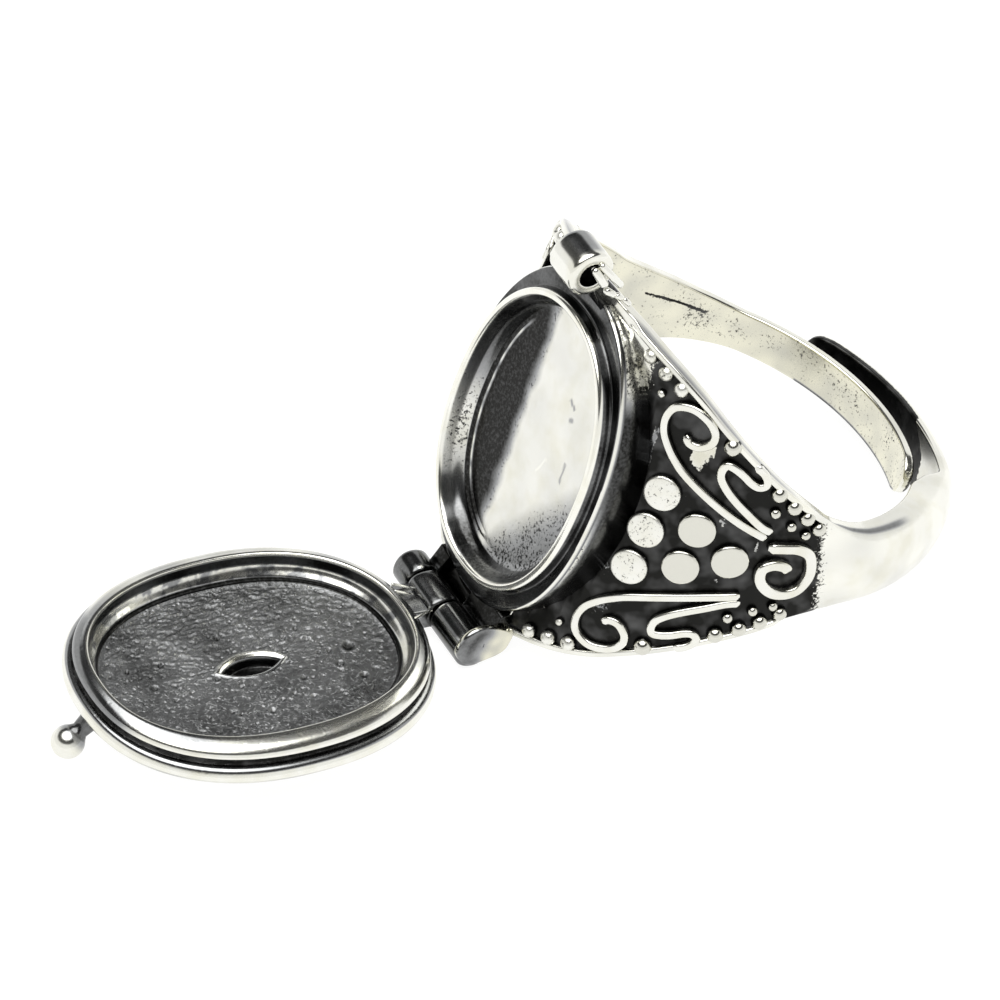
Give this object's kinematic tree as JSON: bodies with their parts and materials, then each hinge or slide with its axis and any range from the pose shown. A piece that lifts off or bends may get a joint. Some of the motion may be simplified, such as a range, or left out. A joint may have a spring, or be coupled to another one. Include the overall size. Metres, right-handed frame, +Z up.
{
  "type": "locket ring",
  "caption": "Adjustable finger ring with an oval locket: shallow cup, hinged domed lid, granulated shoulders and an open overlapping shank.",
  "frame": {"origin": "middle of the finger hole, on its axis, level with the middle of the shank", "axes": "+Z up with the ring lying on its side as it rests on a table; the locket faces -X, the back of the shank is at +X, Y runs across the hand. The finger's axis leans 23.4 degrees from +Z towards +X."},
  "size_m": [0.0416, 0.0195, 0.0193],
  "materials": {
    "silver": "worn silver, darkened in the recesses",
    "lid_silver": "worn silver, dark and pitted inside",
    "pin_silver": "dull silver wire"
  },
  "bodies": {
    "ring": {"ring_body": "silver", "hinge_pin": "pin_silver"},
    "locket_lid": {"lid": "lid_silver"}
  },
  "joints": [
    {"name": "lid_hinge", "type": "hinge", "parent": "ring", "child": "locket_lid", "pos_m": [-0.01311, 0, -0.00428], "axis": [0, 1, 0], "range_deg": [-5, 103]}
  ]
}
